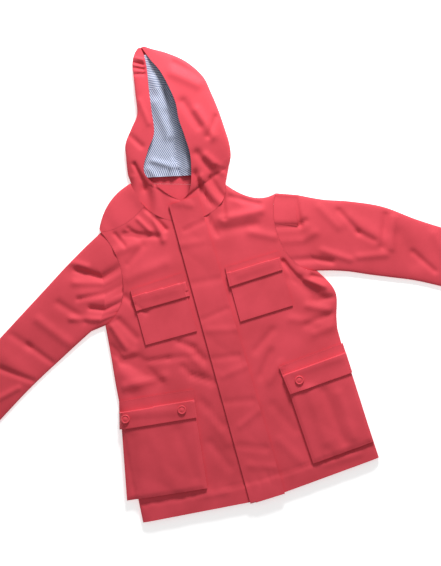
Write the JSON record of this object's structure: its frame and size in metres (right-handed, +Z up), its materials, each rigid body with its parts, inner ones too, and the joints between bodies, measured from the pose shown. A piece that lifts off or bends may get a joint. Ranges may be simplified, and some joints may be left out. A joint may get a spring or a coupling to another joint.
{
  "type": "kids rain jacket",
  "caption": "Coral-red hooded kids rain jacket laid flat, front up, with a striped hood lining, storm-flap placket, chest pockets and cargo pockets with snaps.",
  "frame": {"origin": "point of the back panel's flat underside on the centre front line, at the waist", "axes": "+X to the wearer's left, +Y from the hem to the hood, +Z up out of the front"},
  "size_m": [1.0461, 0.787, 0.028],
  "materials": {
    "shell": "matte coated woven cotton",
    "lining": "fine blue and white stripe, matte",
    "snap": "satin enamel"
  },
  "bodies": {
    "root": {"back_panel": "shell", "front_right_panel": "shell", "front_left_panel": "shell", "yoke_right": "shell", "placket": "shell", "sleeve_right": "shell", "sleeve_left": "shell", "hood_right": "shell", "hood_left": "shell", "chest_pocket_right": "shell", "chest_pocket_left": "shell", "chest_flap_right": "shell", "chest_flap_left": "shell", "cargo_pocket_right": "shell", "cargo_pocket_left": "shell", "cargo_flap_right": "shell", "cargo_flap_left": "shell", "hood_lining": "lining", "snap_right_1": "snap", "snap_right_2": "snap", "snap_left_1": "snap"}
  },
  "joints": []
}
